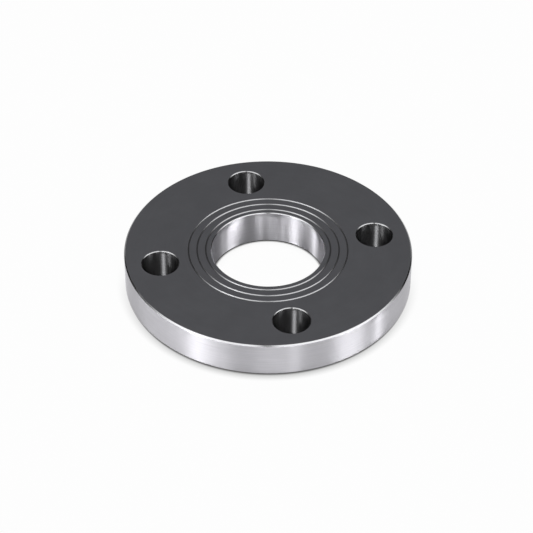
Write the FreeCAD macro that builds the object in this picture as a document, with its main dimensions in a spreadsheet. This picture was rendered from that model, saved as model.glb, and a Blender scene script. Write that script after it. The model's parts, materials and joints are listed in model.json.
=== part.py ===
import FreeCAD, Part
import os

import Sketcher

# Flat flange for a DN 50 pipe, turned all over: one steel ring with a bore for the pipe,
# bolt holes on a circle, V grooves round the bore that bite into the gasket, and chamfered mouths.
# Millimetres. The origin is the centre of the back face, +Z is the axis out of the gasket face,
# and the first bolt hole is on +X.

SIZES = {
    "bore_diameter": "59.0",  # slips over a pipe of 57.0
    "thickness": "19.0",
    "bolt_circle_diameter": "114.0",
    "bolt_hole_diameter": "19.0",
    "bolt_hole_count": "4",
    "bolt_edge_distance": "18.0",  # from a bolt hole's centre out to the rim
    "rim_chamfer": "0.7",
    "bore_chamfer": "0.4",
    "bolt_hole_chamfer": "0.4",
    "groove_count": "3",
    "groove_land": "3.0",  # from the bore's wall to the root of the first groove
    "groove_pitch": "4.5",  # from root to root
    "groove_width": "0.8",
    "groove_depth": "0.4",
}
BORE_RADIUS = "Sizes.bore_diameter / 2"
BOLT_CIRCLE_RADIUS = "Sizes.bolt_circle_diameter / 2"
BOLT_HOLE_RADIUS = "Sizes.bolt_hole_diameter / 2"
RIM_RADIUS = f"{BOLT_CIRCLE_RADIUS} + Sizes.bolt_edge_distance"
ROUNDING = 1e-6


def add_sizes(doc):
    """Keeps the driving dimensions in a sheet, each in a cell with its own name."""
    sheet = doc.addObject("Spreadsheet::Sheet", "Sizes")
    for row, (name, value) in enumerate(SIZES.items(), start=1):
        sheet.set(f"A{row}", name)
        sheet.set(f"B{row}", value)
        sheet.setAlias(f"B{row}", name)
    doc.recompute()
    return sheet


def value_of(obj, expression):
    """What an expression comes to now, as a plain number."""
    return float(obj.evalExpression(expression))


def origin_feature(body, role):
    return next(item for item in body.Origin.OriginFeatures if item.Role == role)


def add_sketch(body, name, plane):
    sketch = body.newObject("Sketcher::SketchObject", name)
    sketch.AttachmentSupport = (origin_feature(body, plane), [""])
    sketch.MapMode = "FlatFace"
    return sketch


def add_dimension(sketch, name, expression, kind, *places):
    """A named dimension that follows an expression."""
    value = value_of(sketch, expression)
    index = sketch.addConstraint(Sketcher.Constraint(kind, *places, value))
    sketch.renameConstraint(index, name)
    sketch.setExpression(f"Constraints.{name}", expression)


def add_outline(sketch, corners):
    """Closed run of straight lines from corner to corner. Returns the number of its first line."""
    points = [FreeCAD.Vector(x, y, 0) for x, y in corners]
    lines = [Part.LineSegment(a, b) for a, b in zip(points, points[1:] + points[:1])]
    first = sketch.addGeometry(lines, False)[0]
    for i in range(len(lines)):
        following = first + (i + 1) % len(lines)
        sketch.addConstraint(Sketcher.Constraint("Coincident", first + i, 2, following, 1))
    return first


def revolve(body, kind, name, sketch):
    """A full turn of a section about the flange's axis, added or cut away as kind says."""
    feature = body.newObject(kind, name)
    feature.Profile = sketch
    feature.ReferenceAxis = (origin_feature(body, "Z_Axis"), [""])
    feature.Angle = 360
    sketch.Visibility = False
    return feature


def turn_blank(body):
    """The plain ring: half its section, turned about the axis."""
    sketch = add_sketch(body, "blank_section", "XZ_Plane")
    inside = value_of(sketch, BORE_RADIUS)
    outside = value_of(sketch, RIM_RADIUS)
    face = value_of(sketch, "Sizes.thickness")
    back_line = add_outline(sketch, [(inside, 0), (outside, 0), (outside, face), (inside, face)])
    rim_line = back_line + 1
    face_line = back_line + 2
    bore_line = back_line + 3
    for line in (back_line, face_line):
        sketch.addConstraint(Sketcher.Constraint("Horizontal", line))
    for line in (rim_line, bore_line):
        sketch.addConstraint(Sketcher.Constraint("Vertical", line))
    sketch.addConstraint(Sketcher.Constraint("PointOnObject", back_line, 1, -1))
    add_dimension(sketch, "bore_radius", BORE_RADIUS, "DistanceX", -1, 1, back_line, 1)
    add_dimension(sketch, "rim_radius", RIM_RADIUS, "DistanceX", -1, 1, back_line, 2)
    add_dimension(sketch, "thickness", "Sizes.thickness", "DistanceY", rim_line, 1, rim_line, 2)
    return revolve(body, "PartDesign::Revolution", "turned_blank", sketch)


def drill_bolt_holes(body):
    """One hole through the ring on +X, repeated round the bolt circle."""
    sketch = add_sketch(body, "bolt_hole_centre", "XY_Plane")
    centre = FreeCAD.Vector(value_of(sketch, BOLT_CIRCLE_RADIUS), 0, 0)
    radius = value_of(sketch, BOLT_HOLE_RADIUS)
    circle = sketch.addGeometry(Part.Circle(centre, FreeCAD.Vector(0, 0, 1), radius), False)
    sketch.addConstraint(Sketcher.Constraint("PointOnObject", circle, 3, -1))
    add_dimension(sketch, "circle_radius", BOLT_CIRCLE_RADIUS, "DistanceX", -1, 1, circle, 3)
    add_dimension(sketch, "hole_diameter", "Sizes.bolt_hole_diameter", "Diameter", circle)

    hole = body.newObject("PartDesign::Pocket", "bolt_hole")
    hole.Profile = sketch
    hole.Type = "ThroughAll"
    hole.Reversed = True
    sketch.Visibility = False

    pattern = body.newObject("PartDesign::PolarPattern", "bolt_holes")
    pattern.Originals = [hole]
    pattern.Axis = (origin_feature(body, "Z_Axis"), [""])
    pattern.Angle = 360
    pattern.setExpression("Occurrences", "Sizes.bolt_hole_count")
    body.Tip = pattern
    return pattern


def mouth_edges(feature, radius, face):
    """Names of the round edges of that radius that lie on the back face or on the gasket face."""
    names = []
    for number, edge in enumerate(feature.Shape.Edges, start=1):
        if not isinstance(edge.Curve, Part.Circle) or abs(edge.Curve.Radius - radius) > ROUNDING:
            continue
        height = edge.Curve.Center.z
        if min(abs(height), abs(height - face)) < ROUNDING:
            names.append(f"Edge{number}")
    return names


def chamfer_mouths(body, base, name, radius_expression, size_expression):
    """Breaks the sharp edges at both ends of a round wall."""
    body.Document.recompute()
    radius = value_of(base, radius_expression)
    chamfer = body.newObject("PartDesign::Chamfer", name)
    chamfer.Base = (base, mouth_edges(base, radius, value_of(base, "Sizes.thickness")))
    chamfer.setExpression("Size", size_expression)
    return chamfer


def cut_gasket_grooves(body):
    """V grooves in the gasket face, one outside the other, all turned from one sketch."""
    sketch = add_sketch(body, "groove_sections", "XZ_Plane")
    face = value_of(sketch, "Sizes.thickness")
    half_width = value_of(sketch, "Sizes.groove_width / 2")
    root_height = value_of(sketch, "Sizes.thickness - Sizes.groove_depth")
    for k in range(int(value_of(sketch, "Sizes.groove_count"))):
        root_radius = f"{BORE_RADIUS} + Sizes.groove_land + {k} * Sizes.groove_pitch"
        radius = value_of(sketch, root_radius)
        corners = [(radius - half_width, face), (radius, root_height), (radius + half_width, face)]
        inner_flank = add_outline(sketch, corners)
        outer_flank = inner_flank + 1
        mouth = inner_flank + 2
        sketch.addConstraint(Sketcher.Constraint("Horizontal", mouth))
        sketch.addConstraint(Sketcher.Constraint("Equal", inner_flank, outer_flank))
        add_dimension(sketch, f"root_radius_{k + 1}", root_radius, "DistanceX", -1, 1, inner_flank, 2)
        add_dimension(sketch, f"face_height_{k + 1}", "Sizes.thickness", "DistanceY", -1, 1, mouth, 1)
        add_dimension(sketch, f"width_{k + 1}", "Sizes.groove_width", "DistanceX", mouth, 2, mouth, 1)
        add_dimension(sketch, f"depth_{k + 1}", "Sizes.groove_depth", "DistanceY", inner_flank, 2, mouth, 1)
    return revolve(body, "PartDesign::Groove", "gasket_grooves", sketch)


def build_flange(doc):
    body = doc.addObject("PartDesign::Body", "flange")
    body.Label = "flange"
    blank = turn_blank(body)
    rim = chamfer_mouths(body, blank, "rim_chamfers", RIM_RADIUS, "Sizes.rim_chamfer")
    chamfer_mouths(body, rim, "bore_chamfers", BORE_RADIUS, "Sizes.bore_chamfer")
    holes = drill_bolt_holes(body)
    chamfer_mouths(body, holes, "bolt_hole_chamfers", BOLT_HOLE_RADIUS, "Sizes.bolt_hole_chamfer")
    grooves = cut_gasket_grooves(body)
    body.Tip = grooves
    doc.recompute()
    return body


def check(doc, pieces):
    """Stops before anything is written if a step failed or a piece is no sound solid."""
    for obj in doc.Objects:
        if "Invalid" in obj.State or "Error" in obj.State:
            raise RuntimeError(f"{obj.Name} failed: {obj.State}")
    for piece in pieces:
        shape = piece.Shape
        if shape.isNull() or not shape.isValid() or len(shape.Solids) != 1:
            raise RuntimeError(f"{piece.Label} isn't one valid solid")
        print(f"{piece.Label}: {shape.Volume:.1f} mm3, {len(shape.Faces)} faces")


def main():
    doc = FreeCAD.newDocument("flange")
    add_sizes(doc)
    pieces = [build_flange(doc)]
    check(doc, pieces)
    os.makedirs("parts", exist_ok=True)
    for piece in pieces:
        piece.Shape.exportStep(f"parts/{piece.Label}.step")


main()
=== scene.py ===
import json
import math

import bpy
from mathutils import Euler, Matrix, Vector


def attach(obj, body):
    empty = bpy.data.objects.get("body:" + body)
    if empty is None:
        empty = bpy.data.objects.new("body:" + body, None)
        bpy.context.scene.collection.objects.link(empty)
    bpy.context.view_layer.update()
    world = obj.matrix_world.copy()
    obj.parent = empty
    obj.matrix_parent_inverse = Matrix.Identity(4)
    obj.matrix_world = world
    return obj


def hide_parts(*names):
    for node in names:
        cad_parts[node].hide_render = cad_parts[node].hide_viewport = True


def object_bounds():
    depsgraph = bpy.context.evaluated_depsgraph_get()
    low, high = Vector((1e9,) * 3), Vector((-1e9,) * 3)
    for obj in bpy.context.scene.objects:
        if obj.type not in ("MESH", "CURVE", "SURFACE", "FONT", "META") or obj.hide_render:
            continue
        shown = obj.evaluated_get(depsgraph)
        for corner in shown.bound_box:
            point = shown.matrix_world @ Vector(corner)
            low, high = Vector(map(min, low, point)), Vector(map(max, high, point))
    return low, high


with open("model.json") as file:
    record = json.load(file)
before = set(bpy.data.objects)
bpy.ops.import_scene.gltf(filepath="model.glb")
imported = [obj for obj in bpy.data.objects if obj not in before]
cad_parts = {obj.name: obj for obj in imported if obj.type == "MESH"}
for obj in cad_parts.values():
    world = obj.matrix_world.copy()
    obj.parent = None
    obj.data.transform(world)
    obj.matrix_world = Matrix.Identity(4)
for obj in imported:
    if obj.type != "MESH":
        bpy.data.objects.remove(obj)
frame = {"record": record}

# A flat steel pipe flange on a white table: machined all over, dark satin faces, bright turned walls.
# Metres. The origin is the centre of the back face and +Z is the axis out of the gasket face.

CAD_LOW, CAD_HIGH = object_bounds()
MM = 0.001
MOUNTS = {mount["name"]: mount["dims"] for mount in frame["record"]["mounts"]}

# Sizes of the flange, read from the frame where it gives them
THICKNESS = CAD_HIGH.z
RIM_RADIUS = CAD_HIGH.x
BORE_RADIUS = MOUNTS["bore"]["r_mm"] * MM
BOLT_CIRCLE_RADIUS = MOUNTS["bolt_holes"]["pcd_mm"] / 2 * MM
BOLT_HOLE_RADIUS = MOUNTS["bolt_holes"]["hole_r_mm"] * MM
BOLT_HOLE_COUNT = MOUNTS["bolt_holes"]["count"]
RIM_CHAMFER = 0.7 * MM
BORE_CHAMFER = 0.4 * MM
BOLT_HOLE_CHAMFER = 0.4 * MM
GROOVE_COUNT = 3
GROOVE_LAND = 3.0 * MM  # from the bore's wall to the root of the first groove
GROOVE_PITCH = 4.5 * MM
GROOVE_HALF_WIDTH = 0.4 * MM
GROOVE_DEPTH = 0.4 * MM

# How finely the skin is cut up
EDGE_ROUNDING = 0.1 * MM  # what a file leaves on a sharp corner
GROOVE_ROUNDING = 0.02 * MM  # the same in the grooves, which are left as the tool cut them
ARC_STEPS = 3  # along each rounded corner
SECTOR_STEPS = 72  # round the flange, from halfway between two bolt holes to the next such place
SPOKE_STEPS = 14  # between two sectors, from the inner ring to the outer one
PATCH_STEPS = 8  # from a bolt hole out to the border of its sector
PATCH_CROWDING = 1.3  # more than 1 crowds those steps towards the hole
SECTOR_INNER = 44.0 * MM  # between the outermost groove and the bolt holes
SECTOR_OUTER = 74.0 * MM  # between the bolt holes and the rim's chamfer
HOLE_MARGIN = 0.3 * MM  # flat ring round a bolt hole's chamfer
EVENNESS = 0.6  # how far the places round a bolt hole are spread evenly

# Where the photograph was taken from. Right and left below are as it shows them.
VIEW_AZIMUTH = math.radians(-12.2)  # from -Y, seen from above
VIEW_ELEVATION = math.radians(40.09)
VIEW_DISTANCE = 15.366 * RIM_RADIUS
LENS = 149.35  # focal length in millimetres
AIM_DOWN = math.radians(0.458)  # off the centre of the gasket face
AIM_LEFT = math.radians(0.039)
ROLL = math.radians(0.342)

# The finishes' numbers. A rounded corner takes the higher number of the two finishes that meet there.
FACE, BORE, HOLE, CHAMFER, HOLE_CHAMFER, GROOVE, RIM = range(7)


def direction(azimuth, elevation):
    """Unit vector towards a place. Azimuth 0 is -Y, and it grows towards +X."""
    flat = math.cos(elevation)
    return Vector((math.sin(azimuth) * flat, -math.cos(azimuth) * flat, math.sin(elevation)))


def beside_camera(degrees_right, degrees_up):
    """Unit vector from the flange towards a place round it, given by how far to the right of the camera it is
    and by its elevation."""
    return direction(VIEW_AZIMUTH + math.radians(degrees_right), math.radians(degrees_up))


def outward(angle):
    """Unit vector away from an upright axis. Angle 0 is +X, and it grows towards +Y."""
    return Vector((math.cos(angle), math.sin(angle), 0))


def bolt_centre(number):
    """Where the axis of a bolt hole meets the back face. Hole 0 is on +X."""
    return outward(math.tau * number / BOLT_HOLE_COUNT) * BOLT_CIRCLE_RADIUS


class Skin:
    """Points, their smooth normals, and the faces between them with the finish of each."""

    def __init__(self):
        self.points = []
        self.normals = []
        self.faces = []
        self.finishes = []

    def add_points(self, places, normals):
        first = len(self.points)
        self.points.extend(places)
        self.normals.extend(normals)
        return list(range(first, len(self.points)))

    def bridge(self, ring_a, ring_b, finish):
        """Quads between two closed rings. On a flat face seen from above, ring_a is the inner one and
        both run anticlockwise."""
        count = len(ring_a)
        for i in range(count):
            following = (i + 1) % count
            self.faces.append((ring_a[i], ring_b[i], ring_b[following], ring_a[following]))
            self.finishes.append(finish)


def left_of(a, b):
    """Unit normal on the left of the way from a to b, in the plane of a section."""
    along = (b - a).normalized()
    return Vector((-along.y, along.x))


def rounded_section(corners, finishes):
    """Samples along a section with its corners rounded. Each has its place, its normal and the finish of
    the stretch that follows it."""
    places = [Vector(corner) for corner in corners]
    samples = [(places[0], left_of(places[0], places[1]), finishes[0])]
    for i in range(1, len(places) - 1):
        before = left_of(places[i - 1], places[i])
        after = left_of(places[i], places[i + 1])
        turn = before.angle_signed(after)
        rounding = GROOVE_ROUNDING if GROOVE in finishes[i - 1:i + 1] else EDGE_ROUNDING
        reach = rounding * math.tan(abs(turn) / 2)
        start = places[i] + (places[i - 1] - places[i]).normalized() * reach
        side = math.copysign(1, turn)  # Vector.angle_signed is positive clockwise
        centre = start - before * rounding * side
        for step in range(ARC_STEPS + 1):
            normal = before.slerp(after, step / ARC_STEPS)
            finish = finishes[i] if step == ARC_STEPS else max(finishes[i - 1], finishes[i])
            samples.append((centre + normal * rounding * side, normal, finish))
    samples.append((places[-1], left_of(places[-2], places[-1]), None))
    return samples


def sweep_section(skin, samples, centre, angles, first_ring, last_ring):
    """Turns a section about an upright axis, between two rings that are there already."""
    ring = first_ring
    for number, (place, normal, _) in enumerate(samples[1:], start=1):
        if number == len(samples) - 1:
            following = last_ring
        else:
            outwards = [outward(angle) for angle in angles]
            up = Vector((0, 0, 1))
            following = skin.add_points(
                [centre + out * place.x + up * place.y for out in outwards],
                [out * normal.x + up * normal.y for out in outwards],
            )
        skin.bridge(ring, following, samples[number - 1][2])
        ring = following


def outer_section():
    """Down over the rim, from the gasket face to the back face."""
    inside = RIM_RADIUS - RIM_CHAMFER
    corners = [
        (SECTOR_OUTER, THICKNESS),
        (inside, THICKNESS),
        (RIM_RADIUS, THICKNESS - RIM_CHAMFER),
        (RIM_RADIUS, RIM_CHAMFER),
        (inside, 0),
        (SECTOR_OUTER, 0),
    ]
    return rounded_section(corners, [FACE, CHAMFER, RIM, CHAMFER, FACE])


def inner_section():
    """Up through the bore, from the back face to the gasket face and over its grooves."""
    mouth = BORE_RADIUS + BORE_CHAMFER
    corners = [
        (SECTOR_INNER, 0),
        (mouth, 0),
        (BORE_RADIUS, BORE_CHAMFER),
        (BORE_RADIUS, THICKNESS - BORE_CHAMFER),
        (mouth, THICKNESS),
    ]
    finishes = [FACE, CHAMFER, BORE, CHAMFER, FACE]
    for number in range(GROOVE_COUNT):
        radius = BORE_RADIUS + GROOVE_LAND + number * GROOVE_PITCH
        corners.append((radius - GROOVE_HALF_WIDTH, THICKNESS))
        corners.append((radius, THICKNESS - GROOVE_DEPTH))
        corners.append((radius + GROOVE_HALF_WIDTH, THICKNESS))
        finishes.extend([GROOVE, GROOVE, FACE])
    corners.append((SECTOR_INNER, THICKNESS))
    return rounded_section(corners, finishes)


def hole_section():
    """Up through a bolt hole, measured from its own axis."""
    mouth = BOLT_HOLE_RADIUS + BOLT_HOLE_CHAMFER
    corners = [
        (mouth + HOLE_MARGIN, 0),
        (mouth, 0),
        (BOLT_HOLE_RADIUS, BOLT_HOLE_CHAMFER),
        (BOLT_HOLE_RADIUS, THICKNESS - BOLT_HOLE_CHAMFER),
        (mouth, THICKNESS),
        (mouth + HOLE_MARGIN, THICKNESS),
    ]
    return rounded_section(corners, [FACE, HOLE_CHAMFER, HOLE, HOLE_CHAMFER, FACE])


def hole_angles(border, centre):
    """Angles round a bolt hole for the places on its sector's border. They are partly as the places lie
    and partly evenly spread."""
    count = len(border)
    middle = math.atan2(centre.y, centre.x)
    lying = []
    for place in border:
        angle = math.atan2(place.y - centre.y, place.x - centre.x) - middle
        while lying and angle < lying[-1] - math.pi:
            angle += math.tau
        lying.append(angle)
    start = -math.tau * (SECTOR_STEPS / 2) / count
    evenly = [start + math.tau * i / count for i in range(count)]
    shift = -math.tau if lying[0] > 0 else 0.0
    pairs = zip(evenly, lying)
    return [middle + EVENNESS * even + (1 - EVENNESS) * (angle + shift) for even, angle in pairs]


def add_spokes(skin, inner, outer, upward):
    """Points from the outer ring in to the inner one, on the border at the start of each sector."""
    spokes = []
    for number in range(BOLT_HOLE_COUNT):
        start = skin.points[outer[number * SECTOR_STEPS]]
        end = skin.points[inner[number * SECTOR_STEPS]]
        places = [start.lerp(end, step / SPOKE_STEPS) for step in range(1, SPOKE_STEPS)]
        spokes.append(skin.add_points(places, [upward] * len(places)))
    return spokes


def sector_border(number, inner, outer, spokes):
    """The points round one sector: on along the outer ring, in, back along the inner ring and out."""
    start = number * SECTOR_STEPS
    steps = range(start, start + SECTOR_STEPS + 1)
    border = [outer[step % len(outer)] for step in steps]
    border += spokes[(number + 1) % BOLT_HOLE_COUNT]
    border += [inner[step % len(inner)] for step in reversed(steps)]
    border += spokes[number][::-1]
    return border


def drill_sector(skin, border, centre, height, upward):
    """Flat faces between a bolt hole and the border of its sector. Returns what its wall is swept from."""
    angles = hole_angles([skin.points[i] for i in border], centre)
    mouth = BOLT_HOLE_RADIUS + BOLT_HOLE_CHAMFER + HOLE_MARGIN
    lifted = centre + Vector((0, 0, height))
    start = [lifted + outward(angle) * mouth for angle in angles]
    first = skin.add_points(start, [upward] * len(start))
    ring = first
    for step in range(1, PATCH_STEPS + 1):
        following = border
        if step < PATCH_STEPS:
            share = (step / PATCH_STEPS) ** PATCH_CROWDING
            places = [place.lerp(skin.points[i], share) for place, i in zip(start, border)]
            following = skin.add_points(places, [upward] * len(places))
        if upward.z > 0:
            skin.bridge(ring, following, FACE)
        else:
            skin.bridge(following, ring, FACE)
        ring = following
    return centre, angles, first


def drilled_face(skin, height, facing):
    """A flat face from the inner ring to the outer one, with a hole in each of its sectors."""
    count = SECTOR_STEPS * BOLT_HOLE_COUNT
    upward = Vector((0, 0, facing))
    turns = [math.tau * (i / count - 0.5 / BOLT_HOLE_COUNT) for i in range(count)]
    rings = {}
    for radius in (SECTOR_INNER, SECTOR_OUTER):
        places = [Vector((radius * math.cos(turn), radius * math.sin(turn), height)) for turn in turns]
        rings[radius] = skin.add_points(places, [upward] * count)
    inner = rings[SECTOR_INNER]
    outer = rings[SECTOR_OUTER]
    spokes = add_spokes(skin, inner, outer, upward)
    holes = []
    for number in range(BOLT_HOLE_COUNT):
        border = sector_border(number, inner, outer, spokes)
        holes.append(drill_sector(skin, border, bolt_centre(number), height, upward))
    return turns, inner, outer, holes


def make_flange(finishes):
    """The whole flange as one closed skin."""
    skin = Skin()
    turns, top_inner, top_outer, top_holes = drilled_face(skin, THICKNESS, 1)
    _, back_inner, back_outer, back_holes = drilled_face(skin, 0.0, -1)
    axis = Vector((0, 0, 0))
    sweep_section(skin, outer_section(), axis, turns, top_outer, back_outer)
    sweep_section(skin, inner_section(), axis, turns, back_inner, top_inner)
    for (centre, angles, top), (_, _, back) in zip(top_holes, back_holes):
        sweep_section(skin, hole_section(), centre, angles, back, top)
    mesh = bpy.data.meshes.new("flange_skin")
    mesh.from_pydata(skin.points, [], skin.faces)
    for finish in finishes:
        mesh.materials.append(finish)
    mesh.polygons.foreach_set("material_index", skin.finishes)
    mesh.polygons.foreach_set("use_smooth", [True] * len(mesh.polygons))
    mesh.update()
    mesh.normals_split_custom_set_from_vertices(skin.normals)
    piece = bpy.data.objects.new("flange_finished", mesh)
    bpy.context.scene.collection.objects.link(piece)
    return piece


class Nodes:
    """Short way to put nodes into a tree and link them."""

    def __init__(self, tree):
        self.tree = tree
        tree.nodes.clear()

    def add(self, kind, inputs=None, **settings):
        """A new node. An input is a plain value or another node's output."""
        node = self.tree.nodes.new(kind)
        for name, value in settings.items():
            setattr(node, name, value)
        for key, value in (inputs or {}).items():
            if isinstance(value, bpy.types.NodeSocket):
                self.tree.links.new(value, node.inputs[key])
            else:
                node.inputs[key].default_value = value
        return node

    def math(self, operation, *values):
        return self.add("ShaderNodeMath", dict(enumerate(values)), operation=operation).outputs[0]

    def dot(self, a, b):
        return self.add("ShaderNodeVectorMath", {0: a, 1: b}, operation="DOT_PRODUCT").outputs["Value"]

    def length(self, vector):
        return self.add("ShaderNodeVectorMath", {0: vector}, operation="LENGTH").outputs["Value"]

    def place(self):
        """Where a point lies, in its object's own axes."""
        return self.add("ShaderNodeTexCoord").outputs["Object"]

    def ramp(self, value, low, high, start, end):
        """Value from low to high becomes start to end."""
        inputs = {"Value": value, "From Min": low, "From Max": high, "To Min": start, "To Max": end}
        return self.add("ShaderNodeMapRange", inputs).outputs["Result"]


# Tool marks run round the flange's axis, as it was turned
MARK_LENGTH = 25 * MM
MARK_WIDTH = 0.5 * MM
MARK_HEIGHT = 0.01 * MM
MARK_STRENGTH = 0.1  # how much of that height shows as relief
MARK_DEPTH = 0.06  # how far they lighten and darken the colour
MARK_DEPTH_FACE = 0.03
MARK_ROUGHNESS = 0.03  # how far they change the roughness
MARK_ROUGHNESS_WALL = 0.006  # more would break the narrow bands of light on a wall up into dashes
BLOTCH_SIZE = 12 * MM
BLOTCH_DEPTH = 0.04
NOISE_LOW = 0.3  # nearly all of a noise lies between these two
NOISE_HIGH = 0.7


def marks(nodes, across):
    """Noise from 0 to 1, drawn out into streaks round the axis. Across is what they are narrow in."""
    place = nodes.place()
    parts = nodes.add("ShaderNodeSeparateXYZ", {0: place}).outputs
    distance = parts["Z"]
    if across == "radius":
        flat = nodes.add("ShaderNodeCombineXYZ", {"X": parts["X"], "Y": parts["Y"]}).outputs[0]
        distance = nodes.length(flat)
    stretched = nodes.add(
        "ShaderNodeCombineXYZ",
        {
            "X": nodes.math("MULTIPLY", parts["X"], 1 / MARK_LENGTH),
            "Y": nodes.math("MULTIPLY", parts["Y"], 1 / MARK_LENGTH),
            "Z": nodes.math("MULTIPLY", distance, 1 / MARK_WIDTH),
        },
    ).outputs[0]
    inputs = {"Vector": stretched, "Scale": 1.0, "Detail": 2.0, "Roughness": 0.6}
    return nodes.add("ShaderNodeTexNoise", inputs).outputs["Fac"]


def spread(nodes, noise, middle, reach):
    """A noise brought to lie round a middle value, as far as reach to each side."""
    return nodes.ramp(noise, NOISE_LOW, NOISE_HIGH, middle - reach, middle + reach)


def steel(name, colour, roughness, across="height", mark_depth=MARK_DEPTH, wall=False):
    """Machined steel with fine tool marks and a slight unevenness of tone. On an upright wall the marks
    draw reflections out up and down."""
    material = bpy.data.materials.new(name)
    material.use_nodes = True
    nodes = Nodes(material.node_tree)
    streaks = marks(nodes, across)
    cloud_inputs = {"Vector": nodes.place(), "Scale": 1 / BLOTCH_SIZE, "Detail": 3.0, "Roughness": 0.55}
    cloud = nodes.add("ShaderNodeTexNoise", cloud_inputs).outputs["Fac"]
    mark_tone = spread(nodes, streaks, 1, mark_depth)
    tone = nodes.math("MULTIPLY", mark_tone, spread(nodes, cloud, 1, BLOTCH_DEPTH))
    tinted = nodes.add("ShaderNodeVectorMath", {0: colour, "Scale": tone}, operation="SCALE").outputs[0]
    rough = spread(nodes, streaks, roughness, MARK_ROUGHNESS_WALL if wall else MARK_ROUGHNESS)
    bump_inputs = {"Height": streaks, "Strength": MARK_STRENGTH, "Distance": MARK_HEIGHT}
    bump = nodes.add("ShaderNodeBump", bump_inputs).outputs["Normal"]
    inputs = {"Base Color": tinted, "Metallic": 1.0, "Roughness": rough, "Normal": bump}
    if wall:
        inputs["Anisotropic"] = 1.0
        inputs["Tangent"] = nodes.add("ShaderNodeCombineXYZ", {"Z": 1.0}).outputs[0]
    shader = nodes.add("ShaderNodeBsdfPrincipled", inputs)
    nodes.add("ShaderNodeOutputMaterial", {"Surface": shader.outputs[0]})
    return material


def make_finishes():
    """One finish for each kind of surface, in the order of their numbers."""
    return [
        steel("satin_face", (0.0955, 0.0965, 0.1045), 0.42, "radius", MARK_DEPTH_FACE),
        steel("bored_wall", (0.505, 0.498, 0.527), 0.32, wall=True),
        # The bolt holes' walls are painted far darker than the other machined steel walls: painted shade for
        # the inside of the deep holes.
        steel("drilled_wall_painted_shade", (0.066, 0.066, 0.068), 0.34, wall=True),
        steel("cut_chamfer", (0.19, 0.19, 0.195), 0.17),
        steel("hole_chamfer", (0.14, 0.14, 0.143), 0.17),
        steel("cut_groove", (0.145, 0.145, 0.149), 0.25),
        steel("turned_rim", (0.452, 0.446, 0.472), 0.30, wall=True),
    ]


# The floor, and the shadow that it shows round the flange. A depth is the share of its brightness that goes.
FLOOR_SIZE = 8.0
FLOOR_DROP = 0.01 * MM  # keeps the floor and the back face apart
FLOOR_COLOUR = (0.8, 0.8, 0.8, 1)  # where it isn't seen straight on or in metal
PASSING = 0.1 * MM  # light on so short a way passes the floor, so that the back face isn't left in the dark
WHITE = 0.985  # brightness of the floor, and of the background behind it
SHADOW_REACH = 5.4 * MM  # how far the soft shadow spreads round the foot of the rim
SHADOW_DEPTH = 0.5  # on the camera's side, at the foot
SHADOW_BEHIND = 0.05  # the same on the far side
SHADOW_MIRRORED = 0.6  # how much of it shows in metal
LINE_REACH = 1.3 * MM  # the dark line right under the edge, on the camera's side
LINE_DEPTH = 0.74
LINE_REACH_ASIDE = 0.6 * MM  # the same from the sides round to the back
LINE_DEPTH_ASIDE = 0.2
LINE_REACH_START = 0.4 * RIM_RADIUS  # how far to the camera's side of the axis it begins to widen
LINE_DEPTH_END = 0.7 * RIM_RADIUS  # and how far it goes on darkening
LINE_REACH_BORE = 1.5 * MM  # the same line at the foot of the bore's wall
LINE_DEPTH_BORE = 0.95
HOLLOW_REACH = 60 * MM  # how far off walls still shade the floor inside the bore and the bolt holes
HOLLOW_NARROW = 0.04  # brightness of the floor in a bolt hole, where metal mirrors it
HOLLOW_WIDE = 0.25  # the same in the bore
OPEN_NARROW = 0.25  # how open to the sky the floor is in a bolt hole, from 0 to 1
OPEN_WIDE = 0.45  # the same in the bore, but for the foot of its wall
OPEN_AT_FOOT = 0.5  # the same at the foot of an upright wall, where only what is near counts
OPENNESS_SAMPLES = 12


def openness(nodes, reach):
    """How open a place is to the sky, from 0 to 1, where nothing farther off than reach counts."""
    node = nodes.add("ShaderNodeAmbientOcclusion", {"Distance": reach}, samples=OPENNESS_SAMPLES)
    return node.outputs["AO"]


def contact_shade(nodes, reach, depth):
    """1 in the open, falling by depth towards the foot of an upright wall."""
    beside_wall = nodes.ramp(openness(nodes, reach), OPEN_AT_FOOT, 1.0, 1.0, 0.0)
    return nodes.math("SUBTRACT", 1.0, nodes.math("MULTIPLY", beside_wall, depth))


def foot_shade(nodes, nearer, distance, in_view):
    """The soft shadow round the flange's foot with a dark line right under its edge, as a brightness.
    Nearer is how far a place is to the camera's side of the axis. The line isn't mirrored."""
    depth = nodes.ramp(nearer, 0.0, RIM_RADIUS, SHADOW_BEHIND, SHADOW_DEPTH)
    depth = nodes.math("MULTIPLY", depth, nodes.ramp(in_view, 0.0, 1.0, SHADOW_MIRRORED, 1.0))
    line_reach = nodes.ramp(nearer, LINE_REACH_START, RIM_RADIUS, LINE_REACH_ASIDE, LINE_REACH)
    line_depth = nodes.ramp(nearer, 0.0, LINE_DEPTH_END, LINE_DEPTH_ASIDE, LINE_DEPTH)
    in_bore = nodes.math("LESS_THAN", distance, BORE_RADIUS + 2 * BORE_CHAMFER)
    line_reach = nodes.math("MAXIMUM", line_reach, nodes.math("MULTIPLY", in_bore, LINE_REACH_BORE))
    line_depth = nodes.math("MAXIMUM", line_depth, nodes.math("MULTIPLY", in_bore, LINE_DEPTH_BORE))
    line_depth = nodes.math("MULTIPLY", in_view, line_depth)
    shadow = contact_shade(nodes, SHADOW_REACH, depth)
    return nodes.math("MULTIPLY", shadow, contact_shade(nodes, line_reach, line_depth))


def hollow_shade(nodes, distance, in_view):
    """Brightness of the floor inside the bore and the bolt holes where metal mirrors it, and 1 elsewhere."""
    hollow = nodes.ramp(openness(nodes, HOLLOW_REACH), OPEN_NARROW, OPEN_WIDE, HOLLOW_NARROW, HOLLOW_WIDE)
    under_flange = nodes.math("LESS_THAN", distance, RIM_RADIUS)
    mirrored_inside = nodes.math("SUBTRACT", under_flange, in_view)
    return nodes.ramp(mirrored_inside, 0.0, 1.0, 1.0, hollow)


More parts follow.
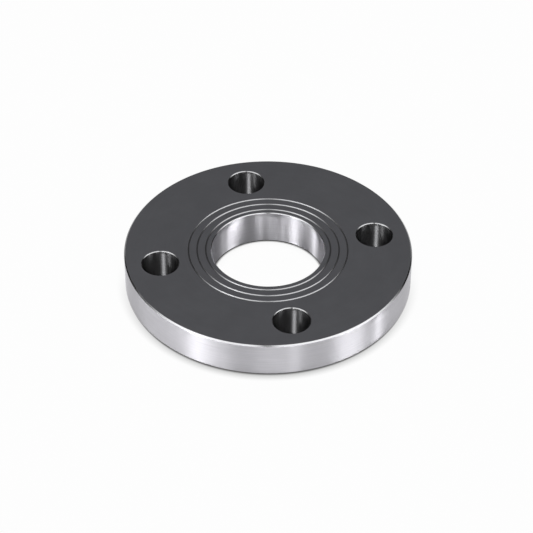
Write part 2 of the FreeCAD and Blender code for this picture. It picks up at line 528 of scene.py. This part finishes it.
def white_table():
    """Seen straight on or in metal it is white and evenly bright, but for the shadow at the flange's foot.
    Metal shows it darker inside the bore and the bolt holes. From below it is clear."""
    material = bpy.data.materials.new("white_table")
    material.use_nodes = True
    material.cycles.emission_sampling = "NONE"
    nodes = Nodes(material.node_tree)
    path = nodes.add("ShaderNodeLightPath").outputs
    in_view = path["Is Camera Ray"]
    place = nodes.place()
    nearer = nodes.dot(place, beside_camera(0, 0))
    distance = nodes.length(place)
    shade = foot_shade(nodes, nearer, distance, in_view)
    shade = nodes.math("MULTIPLY", shade, hollow_shade(nodes, distance, in_view))
    glow_inputs = {"Color": (1, 1, 1, 1), "Strength": nodes.math("MULTIPLY", shade, WHITE)}
    glow = nodes.add("ShaderNodeEmission", glow_inputs).outputs[0]
    diffuse = nodes.add("ShaderNodeBsdfDiffuse", {"Color": FLOOR_COLOUR}).outputs[0]
    seen = nodes.math("MAXIMUM", in_view, path["Is Glossy Ray"])
    seen = nodes.math("MAXIMUM", seen, path["Is Transmission Ray"])
    surface = nodes.add("ShaderNodeMixShader", {0: seen, 1: diffuse, 2: glow}).outputs[0]
    from_below = nodes.add("ShaderNodeNewGeometry").outputs["Backfacing"]
    passing = nodes.math("LESS_THAN", path["Ray Length"], PASSING)
    clear = nodes.math("MAXIMUM", from_below, passing)
    glass = nodes.add("ShaderNodeBsdfTransparent").outputs[0]
    surface = nodes.add("ShaderNodeMixShader", {0: clear, 1: surface, 2: glass}).outputs[0]
    nodes.add("ShaderNodeOutputMaterial", {"Surface": surface})
    return material


def make_floor():
    """The table that the flange lies on."""
    mesh = bpy.data.meshes.new("floor")
    half = FLOOR_SIZE / 2
    corners = [(-half, -half), (half, -half), (half, half), (-half, half)]
    mesh.from_pydata([(x, y, -FLOOR_DROP) for x, y in corners], [], [(0, 1, 2, 3)])
    mesh.materials.append(white_table())
    floor = bpy.data.objects.new("floor", mesh)
    bpy.context.scene.collection.objects.link(floor)


# A plain room. It is darker near the floor and on the camera's side.
AMBIENT = 0.84
AMBIENT_LOW = 0.05  # near the floor
AMBIENT_START = 18  # elevation up to which it is that dark, in degrees
AMBIENT_FULL = 36  # and from which it is at its brightest
AMBIENT_AHEAD = 0.3  # share of it that is left on the camera's side
AHEAD_START = 0.2  # cosine of the angle to the camera's side at which it begins to fall to that share
AHEAD_FULL = 0.6  # and at which it has fallen to it
AMBIENT_BELOW = 0.6  # under the floor, which is clear from below, so it lights the back face alone

# Curved soft boxes overhead. Degrees to the right of the camera where each starts, is full, stops being full
# and ends, and its brightness. Both lie along the arc of places that surfaces of one slope mirror to the
# camera.
SOFT_BOXES = [
    (-100, -76, -8, -2, 4.6),
    (2, 8, 88, 114, 4.8),
]
BOX_SLOPE = 45  # of the chamfers and the grooves' flanks
BOX_FULL = 3  # how far from that slope the boxes are full, in degrees
BOX_END = 6.5  # and where they end

# Upright strips of light round the flange, which put wide bands on its walls. The low ones light the rim and
# little of the bore. Where each band starts, is full, stops being full and ends, in degrees to the right of
# the nearest place of the rim, or to the left of the farthest one of the bore. Then the strip's lowest and
# highest elevation and its brightness.
STRIPS = [
    (-64, -56, -37, -34, 2, 18, 5.2),
    (-37, -35.5, -29, -26, 2, 18, 6),
    (-24, -20, -17, -12.5, 2, 18, 7),
    (-6, -2, 7, 8, 2, 18, 5.2),
    (8, 9.5, 11, 14, 2, 18, 13),
    (25, 31, 38, 43, 2, 18, 19),
    (-33.5, -30, -25.5, -20.5, 20, 32, 58),
]
STRIP_FADE = 2  # degrees to each side of a strip's lowest and highest elevation over which it fades


def plateau(nodes, value, start, full, still_full, end):
    """1 while a value is from full to still_full, and falling off to 0 at start and end."""
    rise = nodes.ramp(value, start, full, 0.0, 1.0)
    fall = nodes.ramp(value, still_full, end, 1.0, 0.0)
    return nodes.math("MULTIPLY", rise, fall)


def room_level(nodes, elevation, ahead):
    """Brightness of the plain room, above the floor and under it."""
    level = nodes.math(
        "MULTIPLY",
        nodes.ramp(elevation, AMBIENT_START, AMBIENT_FULL, AMBIENT_LOW, AMBIENT),
        nodes.ramp(ahead, AHEAD_START, AHEAD_FULL, 1.0, AMBIENT_AHEAD),
    )
    return nodes.math("MULTIPLY_ADD", nodes.math("LESS_THAN", elevation, 0.0), AMBIENT_BELOW, level)


def add_boxes(nodes, level, towards, height, ahead, right):
    """Adds the soft boxes to a brightness. Height, ahead and right are the parts of towards, a unit vector.
    A surface that mirrors a place to the camera faces halfway between the two."""
    to_camera = direction(VIEW_AZIMUTH, VIEW_ELEVATION)
    length = nodes.math("SQRT", nodes.math("MULTIPLY_ADD", nodes.dot(towards, to_camera), 2.0, 2.0))
    halfway_up = nodes.math("DIVIDE", nodes.math("ADD", height, to_camera.z), length)
    slope = nodes.math("DEGREES", nodes.math("ARCSINE", halfway_up))
    off_slope = nodes.math("ABSOLUTE", nodes.math("SUBTRACT", slope, BOX_SLOPE))
    along_arc = nodes.ramp(off_slope, BOX_FULL, BOX_END, 1.0, 0.0)
    azimuth = nodes.math("DEGREES", nodes.math("ARCTAN2", right, ahead))
    for start, full, still_full, end, brightness in SOFT_BOXES:
        box = nodes.math("MULTIPLY", plateau(nodes, azimuth, start, full, still_full, end), along_arc)
        level = nodes.math("MULTIPLY_ADD", box, brightness, level)
    return level


def add_strips(nodes, level, elevation, ahead, right):
    """Adds the upright strips to a brightness. A wall shows a place where, seen from above, it faces halfway
    between that place and the camera."""
    halfway_ahead = nodes.math("ADD", ahead, math.cos(VIEW_ELEVATION))
    shown_at = nodes.math("DEGREES", nodes.math("ARCTAN2", right, halfway_ahead))
    for start, full, still_full, end, lowest, highest, brightness in STRIPS:
        band = plateau(nodes, shown_at, start, full, still_full, end)
        ends = (lowest - STRIP_FADE, lowest + STRIP_FADE, highest - STRIP_FADE, highest + STRIP_FADE)
        strip = nodes.math("MULTIPLY", band, plateau(nodes, elevation, *ends))
        level = nodes.math("MULTIPLY_ADD", strip, brightness, level)
    return level


def light_world():
    """White to the camera. Metal mirrors the plain room with its soft boxes and strips."""
    world = bpy.data.worlds.new("studio")
    bpy.context.scene.world = world
    world.use_nodes = True
    nodes = Nodes(world.node_tree)
    towards = nodes.add("ShaderNodeTexCoord").outputs["Generated"]
    height = nodes.add("ShaderNodeSeparateXYZ", {0: towards}).outputs["Z"]
    elevation = nodes.math("DEGREES", nodes.math("ARCSINE", height))
    ahead = nodes.dot(towards, beside_camera(0, 0))
    right = nodes.dot(towards, beside_camera(90, 0))
    level = room_level(nodes, elevation, ahead)
    level = add_boxes(nodes, level, towards, height, ahead, right)
    level = add_strips(nodes, level, elevation, ahead, right)
    path = nodes.add("ShaderNodeLightPath").outputs
    unseen = nodes.math("SUBTRACT", 1.0, path["Is Camera Ray"])
    strength = nodes.math("MULTIPLY_ADD", unseen, nodes.math("SUBTRACT", level, WHITE), WHITE)
    background = nodes.add("ShaderNodeBackground", {"Color": (1, 1, 1, 1), "Strength": strength}).outputs[0]
    nodes.add("ShaderNodeOutputWorld", {"Surface": background})


# Narrow lamps, which put upright bands of light on the round walls. A lamp is given by the place on the wall
# that mirrors it to the camera, and by its power in watts. The place is in degrees. On the rim it is to the
# right of the place nearest to the camera, and in the bore and the bolt holes to the left of the farthest
# one.
LAMP_DISTANCE = 0.6  # from the wall
LAMP_SIZE = 1 * MM
LAMP_BLEND = 0.2  # how soft the edge of a lamp's spot is
WALL_SPOT = 8.4 * MM  # radius of the light's spot on the walls of the rim and the bore
RIM_LAMP_UP = 12  # elevation of the rim's lamps, in degrees
RIM_LAMPS = [(-84, 1.8), (49, 4.6)]
BORE_LAMP_AIM = 0.42 * THICKNESS  # how high up the bore's wall its lamps are aimed
BORE_LAMP_UP = 23
BORE_LAMPS = [(-15, 2.1), (-8, 1.7), (-2, 1.5), (8, 1.6), (35, 2.3), (40, 3.8), (44.5, 4.6), (53.5, 1.9)]
STEEP_LAMP_UP = 35  # for the bore's right side, so that the chamfer there doesn't mirror the lamp
STEEP_LAMPS = [(-55, 13)]
HOLE_LAMP_UP = 42
HOLE_LAMPS = [(-10.5, 28), (-6.5, 28)]
HOLE_SPOT = 6.5 * MM  # radius of the light's spot on the wall of a bolt hole


def aim_lamp(name, centre, wall, place, up, spot, power):
    """A narrow lamp on the place of a round wall that mirrors it to the camera. Wall is the wall's radius,
    less than 0 where it faces outwards, and spot is the radius of the lamp's spot on it."""
    turn = math.radians(place)
    target = centre - beside_camera(place, 0) * wall
    offset = math.asin(math.cos(VIEW_ELEVATION) * math.sin(turn) / math.cos(math.radians(up)))
    towards = beside_camera(math.degrees(turn + offset), up)
    lamp = bpy.data.lights.new(name, "SPOT")
    lamp.energy = power
    lamp.shadow_soft_size = LAMP_SIZE
    lamp.spot_size = 2 * math.atan(spot / LAMP_DISTANCE)
    lamp.spot_blend = LAMP_BLEND
    holder = bpy.data.objects.new(name, lamp)
    holder.location = target + towards * LAMP_DISTANCE
    holder.rotation_euler = (-towards).to_track_quat("-Z", "Y").to_euler()
    bpy.context.scene.collection.objects.link(holder)


def light_wall(name, centre, wall, lamps, up, spot):
    """Bands of light on one round wall. Centre is on its axis, at the height that the lamps are aimed at."""
    for number, (place, power) in enumerate(lamps, start=1):
        aim_lamp(f"{name}_{number}", centre, wall, place, up, spot, power)


def light_walls():
    """Bands of light on the rim, on the bore's wall and on the wall of each bolt hole."""
    middle = Vector((0, 0, THICKNESS / 2))
    lower = Vector((0, 0, BORE_LAMP_AIM))
    light_wall("rim_lamp", middle, -RIM_RADIUS, RIM_LAMPS, RIM_LAMP_UP, WALL_SPOT)
    light_wall("bore_lamp", lower, BORE_RADIUS, BORE_LAMPS, BORE_LAMP_UP, WALL_SPOT)
    light_wall("steep_lamp", lower, BORE_RADIUS, STEEP_LAMPS, STEEP_LAMP_UP, WALL_SPOT)
    for number in range(BOLT_HOLE_COUNT):
        centre = middle + bolt_centre(number)
        name = f"hole_lamp_{number + 1}"
        light_wall(name, centre, BOLT_HOLE_RADIUS, HOLE_LAMPS, HOLE_LAMP_UP, HOLE_SPOT)


def place_camera():
    """The photograph's viewpoint, a long lens from above the near edge."""
    camera = bpy.data.objects.new("camera", bpy.data.cameras.new("camera"))
    camera.data.lens = LENS
    back = direction(VIEW_AZIMUTH, VIEW_ELEVATION)
    camera.location = Vector((0, 0, THICKNESS)) + back * VIEW_DISTANCE
    level = (-back).to_track_quat("-Z", "Y")
    turn_left = Euler((0, AIM_LEFT, 0)).to_quaternion()
    turn_down = Euler((-AIM_DOWN, 0, 0)).to_quaternion()
    roll = Euler((0, 0, ROLL)).to_quaternion()
    camera.rotation_mode = "QUATERNION"
    camera.rotation_quaternion = level @ turn_left @ turn_down @ roll
    bpy.context.scene.collection.objects.link(camera)
    bpy.context.scene.camera = camera


bpy.context.scene.view_settings.view_transform = "Standard"
place_camera()
flange = make_flange(make_finishes())
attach(flange, "root")
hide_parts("flange")
make_floor()
light_world()
light_walls()
